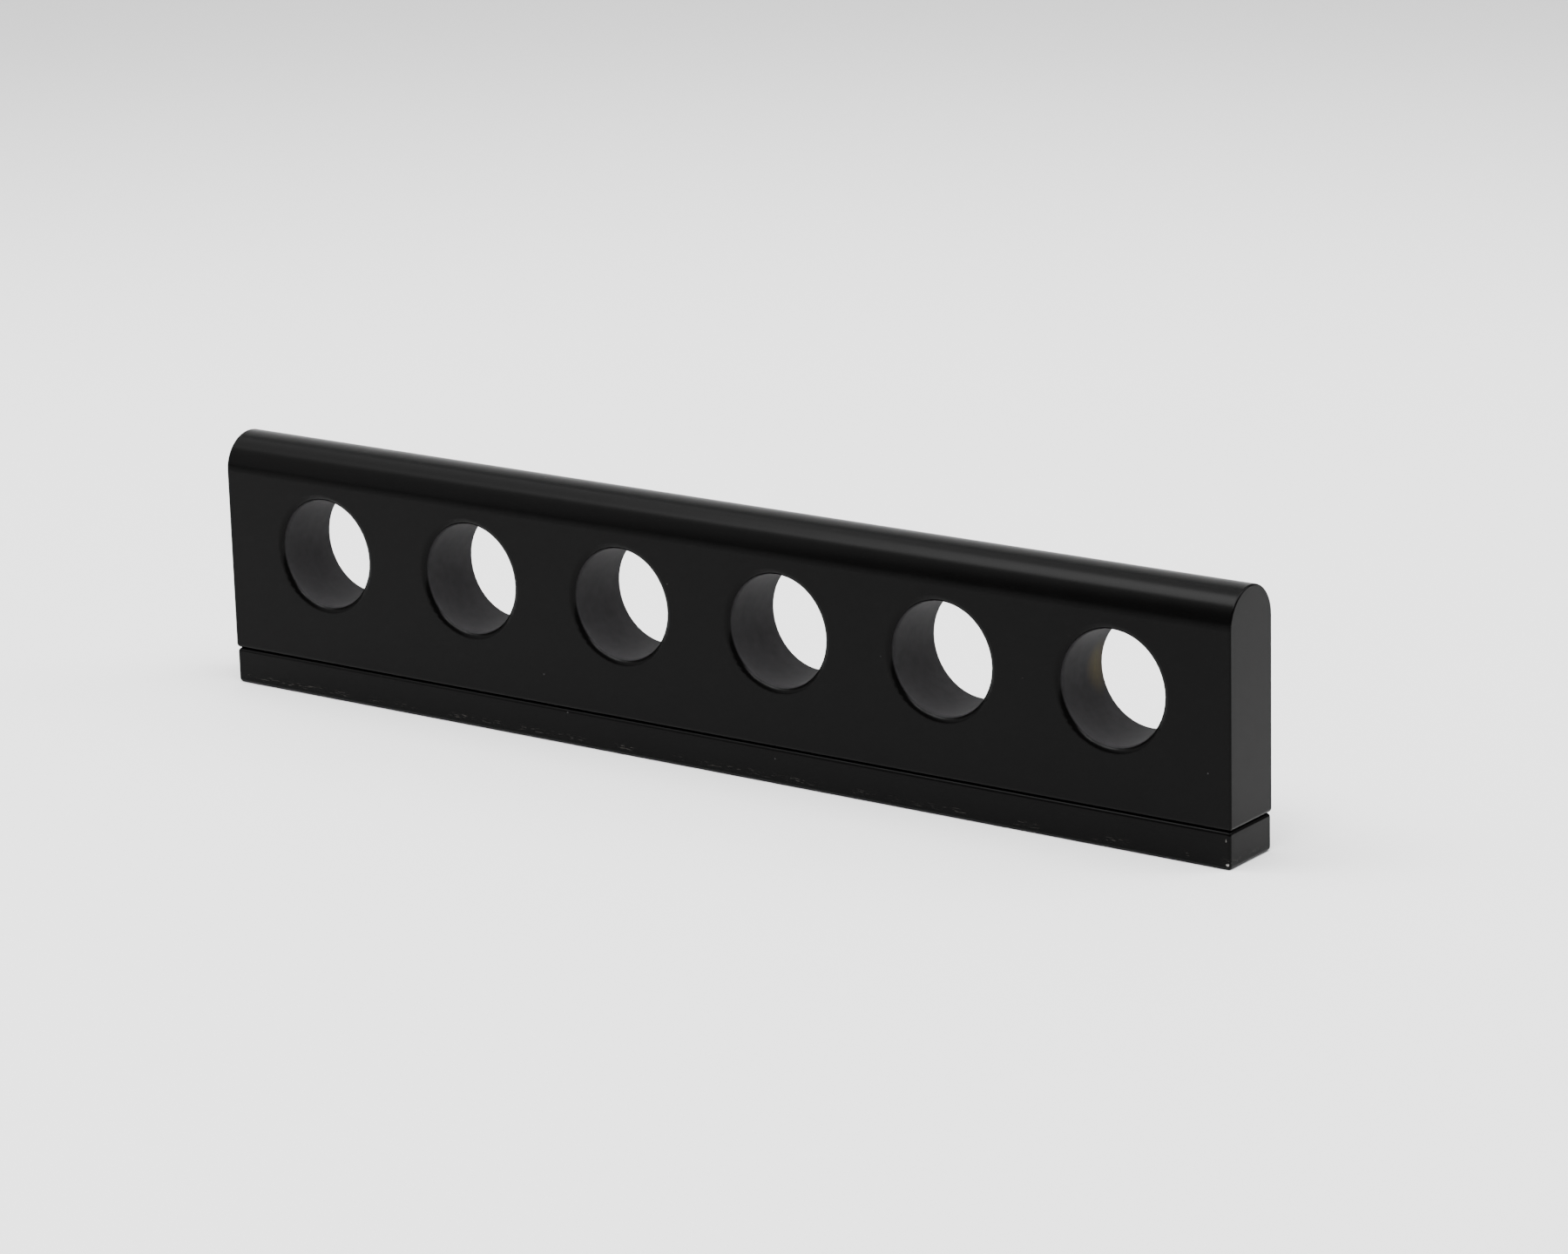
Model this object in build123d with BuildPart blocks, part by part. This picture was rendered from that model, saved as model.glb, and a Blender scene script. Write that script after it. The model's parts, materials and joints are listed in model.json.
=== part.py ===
"""Wall cue rack: a holder bar with a row of through-holes, on a strip that is screwed to the wall.

Frame: +X runs along the rack, the cue holes run along Y, and +Z points away from the wall.
The origin is the centre of the strip's wall face, so the wall is the plane z = 0.
On the wall the rack hangs with -Y up, and each cue passes up through its hole.
"""

import os

from build123d import *

# ---- driving dimensions, mm ----

# holder bar
bar_length = 381.0
bar_thickness = 23.0
end_margin = 40.5        # bar end to the middle of the first hole
hole_count = 6
hole_diameter = 35.2     # passes the butt of a cue
root_wood = 19.4         # solid wood between the wall strip and the holes
nose_wood = 16.8         # solid wood between the holes and the tip of the nose
mouth_round = 2.2        # rounding of the holes' mouths on the upper cheek
under_mouth_round = 0.4  # rounding of their mouths on the lower cheek
foot_round = 1.5         # rounding of the bar's edges next to the strip
end_round = 0.55         # rounding of the other edges at the bar's ends

# wall strip
strip_thickness = 11.6
strip_inset = 0.3        # the strip stops this far short of the bar at each end
strip_top_round = 1.2    # rounding of its edges next to the bar
strip_wall_round = 1.3   # rounding of its edges next to the wall
strip_end_round = 0.9    # rounding of its short upright edges

# wall screw holes in the strip
wall_hole_diameter = 4.5
wall_hole_head = 9.0     # mouth of the countersink

# studs that the bar slides on to
stud_diameter = 8.0
stud_lead = 1.0          # chamfer at the stud's tip
flange_diameter = 14.0
flange_thickness = 2.0
flange_edge = 0.3        # chamfer round the flange's top

# countersunk machine screws that hold the studs
screw_diameter = 4.0
screw_head = 8.0
screw_length = 16.0      # overall, with the head
screw_recess = 0.3       # the head sits this far below the wall face
screw_point = 0.5        # chamfer at the screw's end
screw_slot = 0.9         # width of each arm of the cross recess
screw_cross = 3.8        # span of the cross recess
screw_cross_depth = 1.6
tapping_clear = 2.0      # the stud's tapped hole runs this far past the screw

# brass sleeves in the bar
sleeve_diameter = 13.0
sleeve_roof = 4.2        # solid wood between a sleeve's socket and the holes
sleeve_recess = 0.3      # the sleeve stops this far inside the bar's foot
sleeve_mouth = 0.6       # chamfer at the sleeve's mouth

# grub screws that lock the bar on the studs
grub_diameter = 5.0
grub_recess = 1.5        # outer end of the grub screw to the bar's face
grub_point = 0.8         # chamfer at its point
grub_key = 2.5           # across the flats of its hexagon socket
grub_key_depth = 2.5
access_edge = 0.4        # chamfer at the access hole's mouth

# clearances
slide_gap = 0.05         # sleeve to stud, all round
thread_gap = 0.03        # screw to tapped hole, all round
shank_gap = 0.25         # screw shank to plain hole, all round
seat_gap = 0.1           # flange to its pocket, all round
tip_gap = 0.05           # grub screw to stud
access_gap = 0.4         # grub screw to its access hole, all round
stud_end_gap = 1.3       # tip of the stud to the end of its socket

# ---- derived dimensions ----

foot = strip_thickness
hole_pitch = (bar_length - 2 * end_margin) / (hole_count - 1)
hole_height = foot + root_wood + hole_diameter / 2
bar_height = root_wood + hole_diameter + nose_wood
nose_radius = bar_thickness / 2
strip_length = bar_length - 2 * strip_inset
stud_x = hole_pitch * (hole_count / 2 - 1)
socket_depth = root_wood - sleeve_roof
sleeve_length = socket_depth - sleeve_recess
stud_length = socket_depth - stud_end_gap
wall_hole_x = hole_pitch * (hole_count - 1) / 2
tapping_depth = screw_recess + screw_length + tapping_clear - (foot - flange_thickness)
sleeve_foot = foot + sleeve_recess
grub_height = sleeve_foot + sleeve_length / 2
grub_tip = stud_diameter / 2 + tip_gap
grub_length = bar_thickness / 2 - grub_recess - grub_tip
access_radius = grub_diameter / 2 + access_gap
lower_cheek = Plane.XZ.offset(-bar_thickness / 2)

os.makedirs("parts", exist_ok=True)


def finish(piece, label):
    """Name a finished piece and write it."""
    piece.part.label = label
    export_step(piece.part, f"parts/{label}.step")


def end_edges(piece, above):
    """Edges of the two end faces that lie above a height."""
    edges = ShapeList()
    for face in piece.faces().filter_by(Axis.X):
        edges += face.edges().filter_by(lambda edge: edge.center().Z > above)
    return edges


# ---- holder bar ----

with BuildPart() as holder_bar:
    # straight cheeks with a half-round nose
    with BuildSketch(Plane.YZ.offset(-bar_length / 2)):
        with Locations((0, foot)):
            Rectangle(
                bar_thickness,
                bar_height - nose_radius,
                align=(Align.CENTER, Align.MIN),
            )
        with Locations((0, foot + bar_height - nose_radius)):
            Circle(nose_radius)
    extrude(amount=bar_length)
    fillet(holder_bar.edges().group_by(Axis.Z)[0], foot_round)
    fillet(end_edges(holder_bar, foot + foot_round), end_round)

    # cue holes, with both mouths rounded
    with BuildSketch(Plane.XZ):
        with Locations((0, hole_height)):
            with GridLocations(hole_pitch, 0, hole_count, 1):
                Circle(hole_diameter / 2)
    extrude(amount=bar_thickness, both=True, mode=Mode.SUBTRACT)
    mouths = holder_bar.edges().filter_by(GeomType.CIRCLE).group_by(Axis.Y)
    fillet(mouths[0], mouth_round)
    fillet(mouths[-1], under_mouth_round)

    # sockets for the sleeves
    with BuildSketch(Plane.XY.offset(foot)):
        with GridLocations(2 * stud_x, 0, 2, 1):
            Circle(sleeve_diameter / 2)
    extrude(amount=socket_depth, mode=Mode.SUBTRACT)

    # access holes from the lower cheek to the sleeves
    with BuildSketch(lower_cheek):
        with Locations((0, grub_height)):
            with GridLocations(2 * stud_x, 0, 2, 1):
                Circle(access_radius)
    extrude(amount=bar_thickness / 2, mode=Mode.SUBTRACT)
    rims = holder_bar.edges().filter_by(GeomType.CIRCLE).group_by(Axis.Y)[-1]
    chamfer(rims.filter_by(lambda edge: edge.radius == access_radius), access_edge)

finish(holder_bar, "holder_bar")

# ---- wall strip ----

with BuildPart() as wall_strip:
    with BuildSketch(Plane.XY):
        Rectangle(strip_length, bar_thickness)
    extrude(amount=strip_thickness)
    fillet(wall_strip.edges().group_by(Axis.Z)[0], strip_wall_round)
    fillet(wall_strip.edges().group_by(Axis.Z)[-1], strip_top_round)
    fillet(wall_strip.edges().filter_by(Axis.Z), strip_end_round)

    # wall screw holes, countersunk on the side that the bar covers
    with Locations(Plane.XY.offset(strip_thickness)):
        with GridLocations(2 * wall_hole_x, 0, 2, 1):
            CounterSinkHole(
                wall_hole_diameter / 2,
                wall_hole_head / 2,
                counter_sink_angle=90,
            )

    # pockets for the studs' flanges
    with BuildSketch(Plane.XY.offset(strip_thickness)):
        with GridLocations(2 * stud_x, 0, 2, 1):
            Circle(flange_diameter / 2 + seat_gap)
    extrude(amount=-flange_thickness, mode=Mode.SUBTRACT)

    # holes for the studs' screws, countersunk on the wall face to a recessed seat
    with Locations(-Plane.XY):
        with GridLocations(2 * stud_x, 0, 2, 1):
            CounterSinkHole(
                screw_diameter / 2 + shank_gap,
                screw_head / 2 + screw_recess,
                counter_sink_angle=90,
            )

finish(wall_strip, "wall_strip")

# ---- studs, their screws, the sleeves and the grub screws, one set at each end ----

for side, x in (("left", -stud_x), ("right", stud_x)):
    upright = Plane((x, 0, 0), x_dir=(1, 0, 0), z_dir=(0, -1, 0))

    with BuildPart() as stud:
        with BuildSketch(Plane((x, 0, foot - flange_thickness))):
            Circle(flange_diameter / 2)
        extrude(amount=flange_thickness)
        chamfer(stud.edges().group_by(Axis.Z)[-1], flange_edge)
        with BuildSketch(Plane((x, 0, foot))):
            Circle(stud_diameter / 2)
        extrude(amount=stud_length)
        chamfer(stud.edges().group_by(Axis.Z)[-1], stud_lead)
        with BuildSketch(Plane((x, 0, foot - flange_thickness))):
            Circle(screw_diameter / 2 + thread_gap)
        extrude(amount=tapping_depth, mode=Mode.SUBTRACT)
    finish(stud, f"{side}_stud")

    with BuildPart() as stud_screw:
        with BuildSketch(upright):
            with BuildLine():
                head = screw_head / 2
                shank = screw_diameter / 2
                end = screw_recess + screw_length
                Polyline(
                    (0, screw_recess),
                    (head, screw_recess),
                    (shank, screw_recess + head - shank),
                    (shank, end - screw_point),
                    (shank - screw_point, end),
                    (0, end),
                    close=True,
                )
            make_face()
        revolve(axis=Axis((x, 0, 0), (0, 0, 1)))
        with BuildSketch(Plane((x, 0, screw_recess))):
            Rectangle(screw_cross, screw_slot)
            Rectangle(screw_slot, screw_cross)
        extrude(amount=screw_cross_depth, mode=Mode.SUBTRACT)
    finish(stud_screw, f"{side}_stud_screw")

    with BuildPart() as sleeve:
        with BuildSketch(Plane((x, 0, sleeve_foot))):
            Circle(sleeve_diameter / 2)
            Circle(stud_diameter / 2 + slide_gap, mode=Mode.SUBTRACT)
        extrude(amount=sleeve_length)
        mouth = sleeve.edges().group_by(Axis.Z)[0].sort_by(SortBy.RADIUS)[0]
        chamfer(mouth, sleeve_mouth)
        with BuildSketch(upright):
            with Locations((0, grub_height)):
                Circle(grub_diameter / 2 + thread_gap)
        extrude(amount=-sleeve_diameter, mode=Mode.SUBTRACT)
    finish(sleeve, f"{side}_sleeve")

    with BuildPart() as grub_screw:
        with BuildSketch(Plane((x, grub_tip, grub_height), x_dir=(1, 0, 0), z_dir=(0, 1, 0))):
            Circle(grub_diameter / 2)
        extrude(amount=grub_length)
        chamfer(grub_screw.edges().group_by(Axis.Y)[0], grub_point)
        with BuildSketch(grub_screw.faces().sort_by(Axis.Y)[-1]):
            RegularPolygon(grub_key / 2, 6, major_radius=False)
        extrude(amount=-grub_key_depth, mode=Mode.SUBTRACT)
    finish(grub_screw, f"{side}_grub_screw")
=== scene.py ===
"""Wall cue rack: looks, floor, light and camera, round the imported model.

Metres. +X runs along the rack, the cue holes run along Y, and +Z points away from the wall.
"""

import json
import math

import bpy
from mathutils import Matrix, Vector


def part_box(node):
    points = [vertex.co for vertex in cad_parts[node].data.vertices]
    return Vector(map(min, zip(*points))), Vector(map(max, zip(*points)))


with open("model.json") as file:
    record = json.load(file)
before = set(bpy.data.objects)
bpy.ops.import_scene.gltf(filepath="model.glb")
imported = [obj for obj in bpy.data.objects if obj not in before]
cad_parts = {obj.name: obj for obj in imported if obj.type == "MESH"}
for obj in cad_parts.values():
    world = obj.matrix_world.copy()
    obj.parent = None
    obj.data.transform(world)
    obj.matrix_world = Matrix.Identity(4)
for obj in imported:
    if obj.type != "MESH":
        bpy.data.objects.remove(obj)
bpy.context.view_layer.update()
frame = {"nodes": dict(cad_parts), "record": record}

NODES = frame["nodes"]

MM = 0.001


def middle(node):
    low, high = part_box(node)
    return (low + high) / 2


# Places on the rack, all from the frame.
CUE_HOLES = [mount for mount in frame["record"]["mounts"] if mount["name"].startswith("cue_hole")]
FIRST_HOLE_X, _, HOLE_Z = CUE_HOLES[0]["pos_m"]
HOLE_PITCH = CUE_HOLES[1]["pos_m"][0] - FIRST_HOLE_X
HOLE_RADIUS = CUE_HOLES[0]["dims"]["r_mm"] * MM
STUD_X = middle("right_stud").x
GRUB_Z = middle("right_grub_screw").z


# ---- shader building ----

class Value:
    """A shader socket that takes part in arithmetic, each sign adding one Math node."""

    def __init__(self, graph, socket):
        self.graph = graph
        self.socket = socket

    def _math(self, operation, a, b=None):
        inputs = {0: a} if b is None else {0: a, 1: b}
        return self.graph.node("ShaderNodeMath", {"operation": operation}, inputs)[0]

    def __add__(self, other):
        return self._math("ADD", self, other)

    def __sub__(self, other):
        return self._math("SUBTRACT", self, other)

    def __mul__(self, other):
        return self._math("MULTIPLY", self, other)

    def __pow__(self, other):
        return self._math("POWER", self, other)

    def __mod__(self, other):
        return self._math("FLOORED_MODULO", self, other)

    def __abs__(self):
        return self._math("ABSOLUTE", self)

    __radd__ = __add__

    def max(self, other):
        return self._math("MAXIMUM", self, other)


class Outputs:
    """The outputs of a node, by name or by number."""

    def __init__(self, graph, node):
        self.graph = graph
        self.node = node

    def __getitem__(self, key):
        return Value(self.graph, self.node.outputs[key])


class Graph:
    """A material under construction."""

    def __init__(self, name):
        self.material = bpy.data.materials.new(name)
        self.material.use_nodes = True
        self.tree = self.material.node_tree
        self.tree.nodes.clear()

    def node(self, kind, settings=None, inputs=None):
        """One node: its settings first, then the values or links of its sockets."""
        made = self.tree.nodes.new(kind)
        for key, value in (settings or {}).items():
            setattr(made, key, value)
        for key, value in (inputs or {}).items():
            if isinstance(value, Value):
                self.tree.links.new(value.socket, made.inputs[key])
            else:
                made.inputs[key].default_value = value
        return Outputs(self, made)

    def object_coordinates(self):
        return self.node("ShaderNodeTexCoord")["Object"]

    def split(self, vector):
        """The x, y and z of a vector."""
        parts = self.node("ShaderNodeSeparateXYZ", None, {0: vector})
        return parts[0], parts[1], parts[2]

    def join(self, x, y, z):
        return self.node("ShaderNodeCombineXYZ", None, {0: x, 1: y, 2: z})[0]

    def stretch(self, vector, factors):
        return self.node("ShaderNodeVectorMath", {"operation": "MULTIPLY"}, {0: vector, 1: factors})[0]

    def apart(self, vector, place):
        """How far each point is from a place."""
        return self.node("ShaderNodeVectorMath", {"operation": "DISTANCE"}, {0: vector, 1: place})[1]

    def noise(self, where, size, detail=2.0, roughness=0.5):
        """Noise round 0.5, with lumps about size metres across."""
        inputs = {"Vector": where, "Scale": 1 / size, "Detail": detail, "Roughness": roughness}
        return self.node("ShaderNodeTexNoise", None, inputs)[0]

    def rise(self, value, low, high):
        """0 where the value is at low, 1 where it is at high, smooth between; low may be the larger."""
        settings = {"interpolation_type": "SMOOTHSTEP"}
        return self.node("ShaderNodeMapRange", settings, {0: value, 1: low, 2: high, 3: 0.0, 4: 1.0})[0]

    def specks(self, where, gap, radius):
        """1 on round specks scattered about gap metres apart, and 0 between them."""
        cells = self.node("ShaderNodeTexVoronoi", None, {"Vector": where, "Scale": 1 / gap})
        return self.rise(cells["Distance"], radius / gap, 0.6 * radius / gap)

    def relief(self, microns):
        """A surface normal from a height in thousandths of a millimetre."""
        return self.node("ShaderNodeBump", None, {"Height": microns, "Distance": 0.001 * MM})[0]

    def mix(self, factor, a, b):
        """Colour a where factor is 0, colour b where it is 1."""
        settings = {"data_type": "RGBA"}
        return self.node("ShaderNodeMix", settings, {0: factor, 6: a, 7: b})[2]

    def finish(self, **sockets):
        """Joins a Principled shader, given by its socket names, to the output."""
        names = {key.replace("_", " "): value for key, value in sockets.items()}
        shader = self.node("ShaderNodeBsdfPrincipled", None, names)
        self.node("ShaderNodeOutputMaterial", None, {"Surface": shader["BSDF"]})
        return self.material


def grey(level, warmth=0.0):
    """A near-neutral colour, warmer as warmth rises."""
    return (level * (1 + warmth), level, level * (1 - warmth), 1)


# ---- materials ----

LACQUER_IOR = 1.14


def from_hole_axis(g, where):
    """How far each point is from the axis of the nearest cue hole."""
    x, _, z = g.split(where)
    along = (x - (FIRST_HOLE_X - HOLE_PITCH / 2)) % HOLE_PITCH - HOLE_PITCH / 2
    return (along ** 2 + (z - HOLE_Z) ** 2) ** 0.5


def lacquer_film(g, where):
    """Colour, relief in microns and roughness of satin black lacquer, sprayed over sanded wood."""
    orange_peel = g.noise(where, 1.3 * MM, detail=1)
    waviness = g.noise(where, 16 * MM, detail=1)
    sanding = g.noise(g.stretch(where, (0.04, 1, 1)), 0.5 * MM)
    cloud = g.noise(where, 40 * MM, detail=3)
    haze = g.noise(where, 4 * MM, detail=4, roughness=0.6)
    dust = g.noise(where, 9 * MM, detail=5, roughness=0.65)
    nibs = g.specks(where, 10 * MM, 0.3 * MM)
    colour = g.mix(dust, grey(0.0006), grey(0.0013, 0.03))
    colour = g.mix(nibs, colour, grey(0.03))
    relief = orange_peel * 1.4 + waviness * 26.0 + sanding * 0.7 + nibs * 6.0
    roughness = 0.19 + cloud * 0.04 + haze * 0.03 + nibs * 0.2
    return colour, relief, roughness


def bar_lacquer():
    """Satin lacquer outside, thin and matt inside the cue holes, with a stain in the last hole."""
    g = Graph("bar_lacquer")
    where = g.object_coordinates()
    outside, relief, satin = lacquer_film(g, where)

    from_axis = from_hole_axis(g, where)
    bored = g.rise(from_axis, HOLE_RADIUS + 0.5 * MM, HOLE_RADIUS + 0.1 * MM)
    cutter_rings = g.noise(g.join(from_axis, g.split(where)[1], 0.0), 0.35 * MM, detail=3)
    patchy = g.noise(where, 3 * MM, detail=5)
    thin_coat = g.mix(patchy, (0.0188, 0.0182, 0.0192, 1), (0.0272, 0.0262, 0.0276, 1))

    streaks = g.noise(g.stretch(where, (1, 1, 0.25)), 0.6 * MM, detail=3)
    last_hole_wall = FIRST_HOLE_X + (len(CUE_HOLES) - 1) * HOLE_PITCH - HOLE_RADIUS
    tall = (1, 1, 0.6)
    from_stain = g.apart(g.stretch(where, tall), (last_hole_wall, 8 * MM, tall[2] * HOLE_Z))
    stain = g.rise(from_stain, 6.5 * MM, 0.5 * MM) * (0.4 + streaks * 0.8)
    thin_coat = g.mix(stain, thin_coat, (0.056, 0.046, 0.026, 1))

    return g.finish(
        Base_Color=g.mix(bored, outside, thin_coat),
        Roughness=satin + bored * (0.39 + streaks * 0.06),
        IOR=LACQUER_IOR,
        Normal=g.relief(relief + bored * cutter_rings * 5.0),
    )


def strip_lacquer():
    """The bar's lacquer on the strip, with chips on its right corner and a scratched lower edge."""
    g = Graph("strip_lacquer")
    where = g.object_coordinates()
    coat, relief, satin = lacquer_film(g, where)
    low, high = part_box("wall_strip")

    ragged = g.noise(where, 0.5 * MM, detail=4, roughness=0.7) * 1.4 * MM
    from_low_chip = g.apart(where, (high.x - 0.9 * MM, low.y + 0.2 * MM, low.z + 1.7 * MM))
    tall = (2.0, 1, 0.8)
    upper_chip = (tall[0] * (high.x - 1.4 * MM), low.y, tall[2] * (low.z + 9 * MM))
    from_upper_chip = g.apart(g.stretch(where, tall), upper_chip)
    low_chip = g.rise(from_low_chip + ragged, 1.25 * MM, 0.95 * MM)
    chips = low_chip.max(g.rise(from_upper_chip + ragged, 1.15 * MM, 0.8 * MM) * 0.35)

    lines = g.noise(g.stretch(where, (0.12, 1, 1)), 0.35 * MM, detail=2)
    height = g.split(where)[2]
    near_wall = g.rise(height, low.z + 3.8 * MM, low.z + 2.8 * MM)
    above_edge = g.rise(height, low.z + 1.6 * MM, low.z + 2.2 * MM)
    patches = g.rise(g.noise(where, 14 * MM), 0.45, 0.58)
    scratches = g.rise(lines, 0.58, 0.68) * near_wall * above_edge * patches * 0.5

    coat = g.mix(scratches, coat, grey(0.05, 0.08))
    return g.finish(
        Base_Color=g.mix(chips, coat, grey(0.28, 0.04)),
        Roughness=satin + chips * 0.5 + scratches * 0.2,
        IOR=LACQUER_IOR,
        Normal=g.relief(relief - chips * 90.0 - scratches * 6.0),
    )


def lathe_lines(g, where, size):
    """Fine rings round the nearer stud's axis, as a lathe tool leaves them."""
    x, y, z = g.split(where)
    out = ((abs(x) - STUD_X) ** 2 + y ** 2) ** 0.5
    return g.noise(g.join(out, z, 0.0), size, detail=3, roughness=0.7)


def turned_steel():
    """Bright turned steel, dulled by handling and scuffed where the grub screw bites."""
    g = Graph("turned_steel")
    where = g.object_coordinates()
    x, y, z = g.split(where)
    rings = lathe_lines(g, where, 0.22 * MM)
    smudge = g.noise(where, 3 * MM, detail=4)
    bite = g.apart(g.join(abs(x), y, z), (STUD_X, 4 * MM, GRUB_Z))
    scuff = g.rise(bite + smudge * 0.8 * MM, 2.0 * MM, 1.2 * MM)
    steel = g.mix(smudge, (0.40, 0.40, 0.41, 1), (0.52, 0.52, 0.53, 1))
    return g.finish(
        Base_Color=g.mix(scuff, steel, (0.36, 0.35, 0.34, 1)),
        Metallic=1.0,
        Roughness=0.24 + smudge * 0.12 + scuff * 0.2,
        Normal=g.relief(rings * 3.0 - scuff * 12.0),
    )


def zinc_plate():
    """Blue-white zinc plate, uneven and slightly cloudy, over a rolled screw."""
    g = Graph("zinc_plate")
    where = g.object_coordinates()
    crystals = g.node("ShaderNodeTexVoronoi", None, {"Vector": where, "Scale": 1 / (0.5 * MM)})["Distance"]
    cloud = g.noise(where, 1.6 * MM, detail=5, roughness=0.65)
    dull = g.rise(cloud, 0.5, 0.75)
    plate = g.mix(cloud, (0.52, 0.54, 0.57, 1), (0.70, 0.71, 0.72, 1))
    return g.finish(
        Base_Color=g.mix(dull * 0.6, plate, (0.42, 0.42, 0.40, 1)),
        Metallic=1.0,
        Roughness=0.28 + dull * 0.25 + crystals * 0.06,
        Normal=g.relief(cloud * 5.0 + crystals * 2.0),
    )


def turned_brass():
    """Turned brass, bright on the mouth and browner in patches."""
    g = Graph("turned_brass")
    where = g.object_coordinates()
    rings = lathe_lines(g, where, 0.25 * MM)
    patina = g.rise(g.noise(where, 4 * MM, detail=5, roughness=0.6), 0.4, 0.75)
    return g.finish(
        Base_Color=g.mix(patina, (0.80, 0.60, 0.27, 1), (0.48, 0.31, 0.13, 1)),
        Metallic=1.0,
        Roughness=0.22 + patina * 0.2 + rings * 0.06,
        Normal=g.relief(rings * 3.0),
    )


def black_oxide():
    """Oiled black oxide on steel, rubbed bright round the key socket."""
    g = Graph("black_oxide")
    where = g.object_coordinates()
    x, _, z = g.split(where)
    out = ((abs(x) - STUD_X) ** 2 + (z - GRUB_Z) ** 2) ** 0.5
    oil = g.noise(where, 1.2 * MM, detail=4, roughness=0.6)
    socket_rim = 1.45 * MM
    rubbed = g.rise(abs(out - socket_rim) + oil * 0.3 * MM, 0.36 * MM, 0.16 * MM)
    oxide = g.mix(oil, (0.016, 0.016, 0.018, 1), (0.040, 0.038, 0.038, 1))
    return g.finish(
        Base_Color=g.mix(rubbed * 0.7, oxide, (0.30, 0.29, 0.28, 1)),
        Metallic=0.85,
        Roughness=0.3 + oil * 0.18,
        Normal=g.relief(oil * 4.0),
    )


FINISHES = {
    "holder_bar": bar_lacquer(),
    "wall_strip": strip_lacquer(),
    "stud": turned_steel(),
    "stud_screw": zinc_plate(),
    "sleeve": turned_brass(),
    "grub_screw": black_oxide(),
}

for name, node in NODES.items():
    kind = name.removeprefix("left_").removeprefix("right_")
    node.data.materials.clear()
    node.data.materials.append(FINISHES[kind])


# ---- floor and backdrop ----

CAMERA_AZIMUTH = 36.373


def stage_material():
    """Pale matt paper, with painted shade greying the floor with distance from the rack, where less light
    reaches it.
    """
    g = Graph("stage_paper")
    where = g.object_coordinates()
    floor = g.rise(g.split(where)[2], 0.4, 0.05)
    # painted shade: the floor paper is made greyer with distance from the rack, standing in for the light
    # falling off there
    painted_falloff_shade = g.rise(g.apart(where, (0, 0, 0)), 0.5, 1.7) * floor
    return g.finish(Base_Color=g.mix(painted_falloff_shade, grey(0.88), grey(0.5)), Roughness=0.7, Specular_IOR_Level=0.2)


def make_sweep(front=6.0, back=2.4, width=12.0, wall=3.4, bend=1.1):
    """A paper sweep: level under the rack, and curving up into a backdrop behind it."""
    steps = 16
    outline = [(-front, 0.0)]
    for i in range(steps + 1):
        turn = math.pi / 2 * i / steps
        outline.append((back + bend * math.sin(turn), bend - bend * math.cos(turn)))
    outline.append((back + bend, wall))
    points = []
    for y, z in outline:
        points += [(-width / 2, y, z), (width / 2, y, z)]
    faces = [(2 * i, 2 * i + 1, 2 * i + 3, 2 * i + 2) for i in range(len(outline) - 1)]
    mesh = bpy.data.meshes.new("sweep")
    mesh.from_pydata(points, [], faces)
    mesh.transform(Matrix.Rotation(math.radians(CAMERA_AZIMUTH), 4, "Z"))
    sweep = bpy.data.objects.new("sweep", mesh)
    bpy.context.scene.collection.objects.link(sweep)
    for polygon in mesh.polygons:
        polygon.use_smooth = True
    mesh.materials.append(stage_material())


make_sweep()


# ---- light ----

def add_softbox(name, place, target, size, radiance):
    """A rectangular softbox of even brightness at a place, turned to a target."""
    light = bpy.data.lights.new(name, "AREA")
    light.shape = "RECTANGLE"
    light.size, light.size_y = size
    light.energy = radiance * math.pi * size[0] * size[1]
    box = bpy.data.objects.new(name, light)
    box.location = place
    aim = Vector(target) - Vector(place)
    box.rotation_euler = aim.to_track_quat("-Z", "Y").to_euler()
    bpy.context.scene.collection.objects.link(box)


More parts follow.
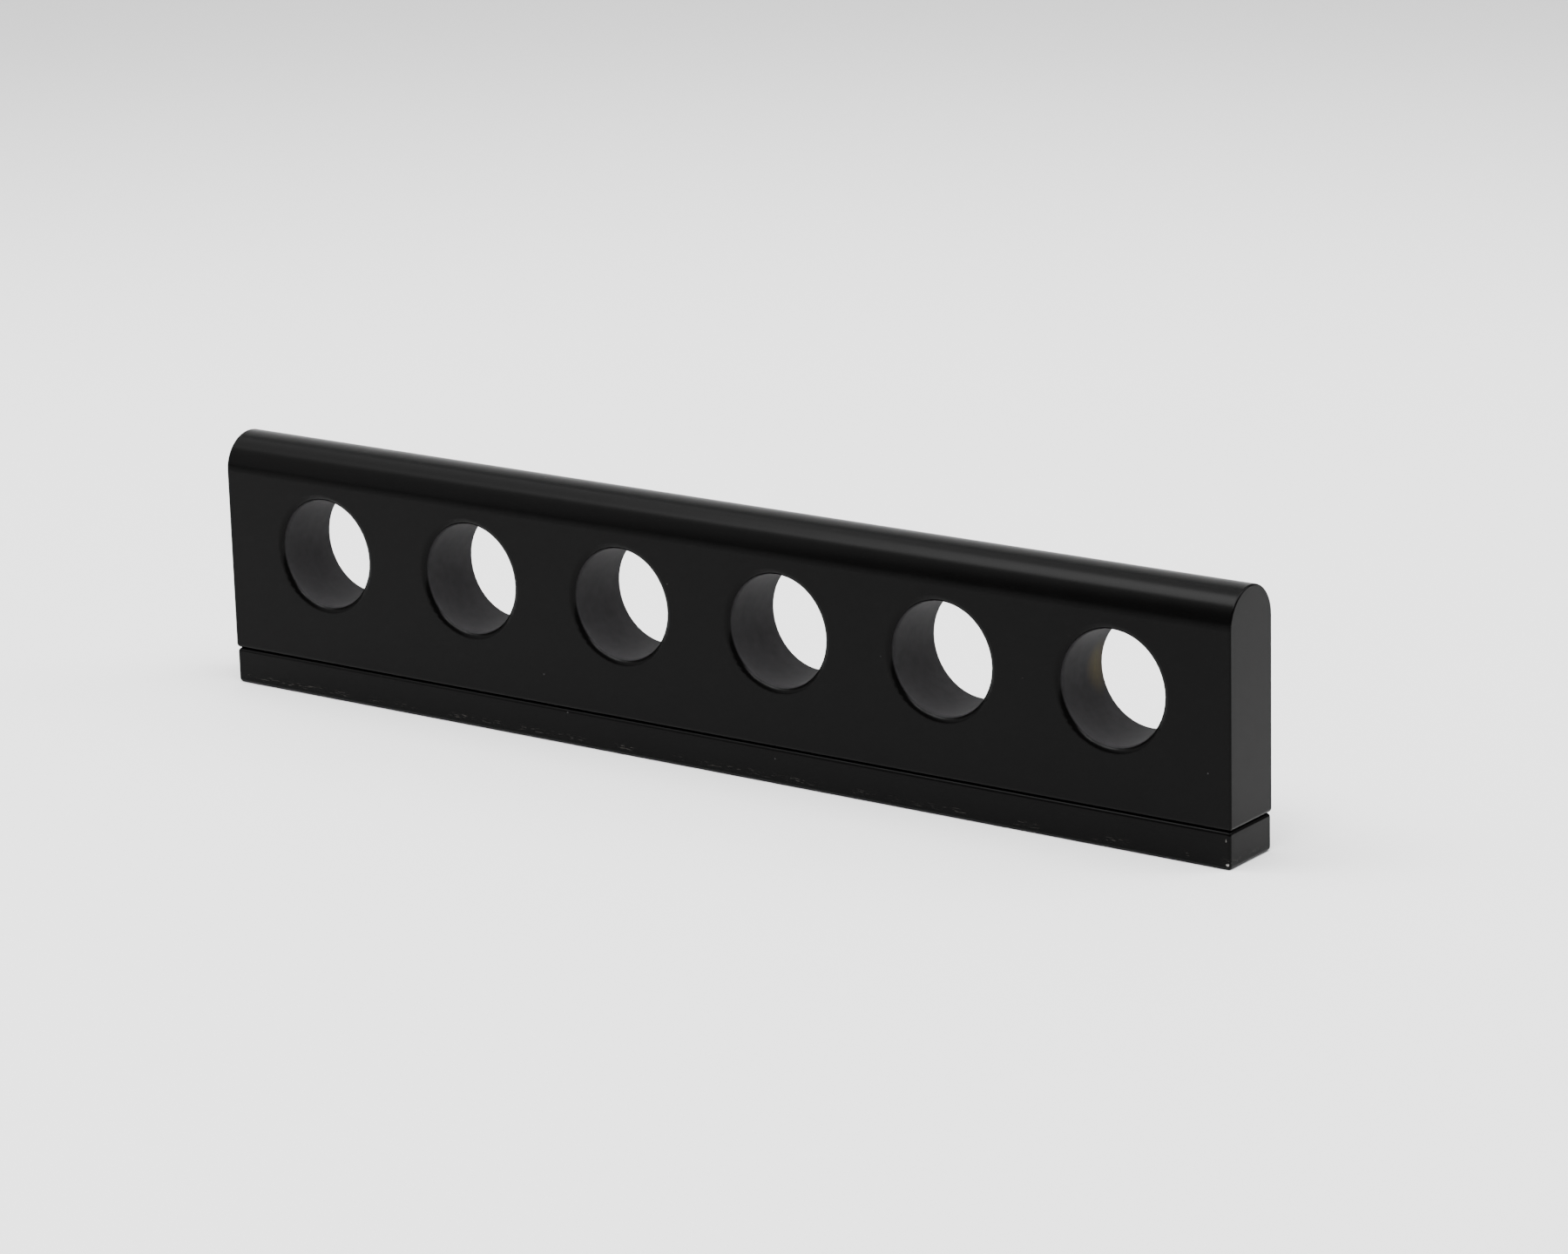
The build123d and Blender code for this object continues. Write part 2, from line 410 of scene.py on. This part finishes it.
add_softbox("ceiling", (-0.9, -0.32, 2.6), (-0.9, -0.319, 0), (4.6, 2.15), 2.4)
add_softbox("ceiling_panel", (-1.03, -0.7, 2.57), (-1.03, -0.699, 0), (1.3, 1.65), 4.5)
add_softbox("back_ceiling", (-0.9, 1.93, 2.6), (-0.9, 1.931, 0), (4.6, 2.3), 0.75)
add_softbox("backdrop_wash", (-1.2, 1.6, 2.9), (-2.1, 2.8, 1.2), (3.0, 0.5), 5.0)
add_softbox("front_softbox", (-0.55, -1.15, 2.75), (0, 0, 0.05), (2.6, 1.3), 5.6)
add_softbox("overhead_softbox", (1.1, 0.12, 3.1), (0.2, 0, 0), (1.8, 1.9), 8.5)
add_softbox("right_back_softbox", (1.5, 1.3, 1.7), (0, 0, 0.05), (1.2, 1.0), 7.5)
add_softbox("front_overhead", (0.6, -1.6, 2.7), (0, 0, 0.05), (1.5, 0.9), 11.0)
add_softbox("left_fill", (-1.9, -1.5, 1.3), (0, 0, 0.1), (1.4, 2.4), 1.7)

world = bpy.data.worlds.new("room")
world.use_nodes = True
world.node_tree.nodes["Background"].inputs["Color"].default_value = (1, 1, 1, 1)
world.node_tree.nodes["Background"].inputs["Strength"].default_value = 0.3
bpy.context.scene.world = world


# ---- camera ----

def add_camera(target, azimuth, elevation, roll, distance, lens):
    """A camera that looks at a target; azimuth 0 looks along +Y, angles in degrees."""
    turn, rise, tilt = (math.radians(angle) for angle in (azimuth, elevation, roll))
    back = Vector((
        math.sin(turn) * math.cos(rise),
        -math.cos(turn) * math.cos(rise),
        math.sin(rise),
    ))
    level = Vector((math.cos(turn), math.sin(turn), 0))
    up = back.cross(level)
    right = math.cos(tilt) * level + math.sin(tilt) * up
    up = back.cross(right)
    data = bpy.data.cameras.new("camera")
    data.sensor_width = 36
    data.lens = lens
    data.clip_end = 30
    camera = bpy.data.objects.new("camera", data)
    camera.matrix_world = Matrix((right, up, back)).transposed().to_4x4()
    camera.location = Vector(target) + back * distance
    bpy.context.scene.collection.objects.link(camera)
    bpy.context.scene.camera = camera


add_camera(
    target=(0.02456, 0, 0.04664),
    azimuth=CAMERA_AZIMUTH,
    elevation=15.628,
    roll=-1.549,
    distance=1.6056,
    lens=120.754,
)
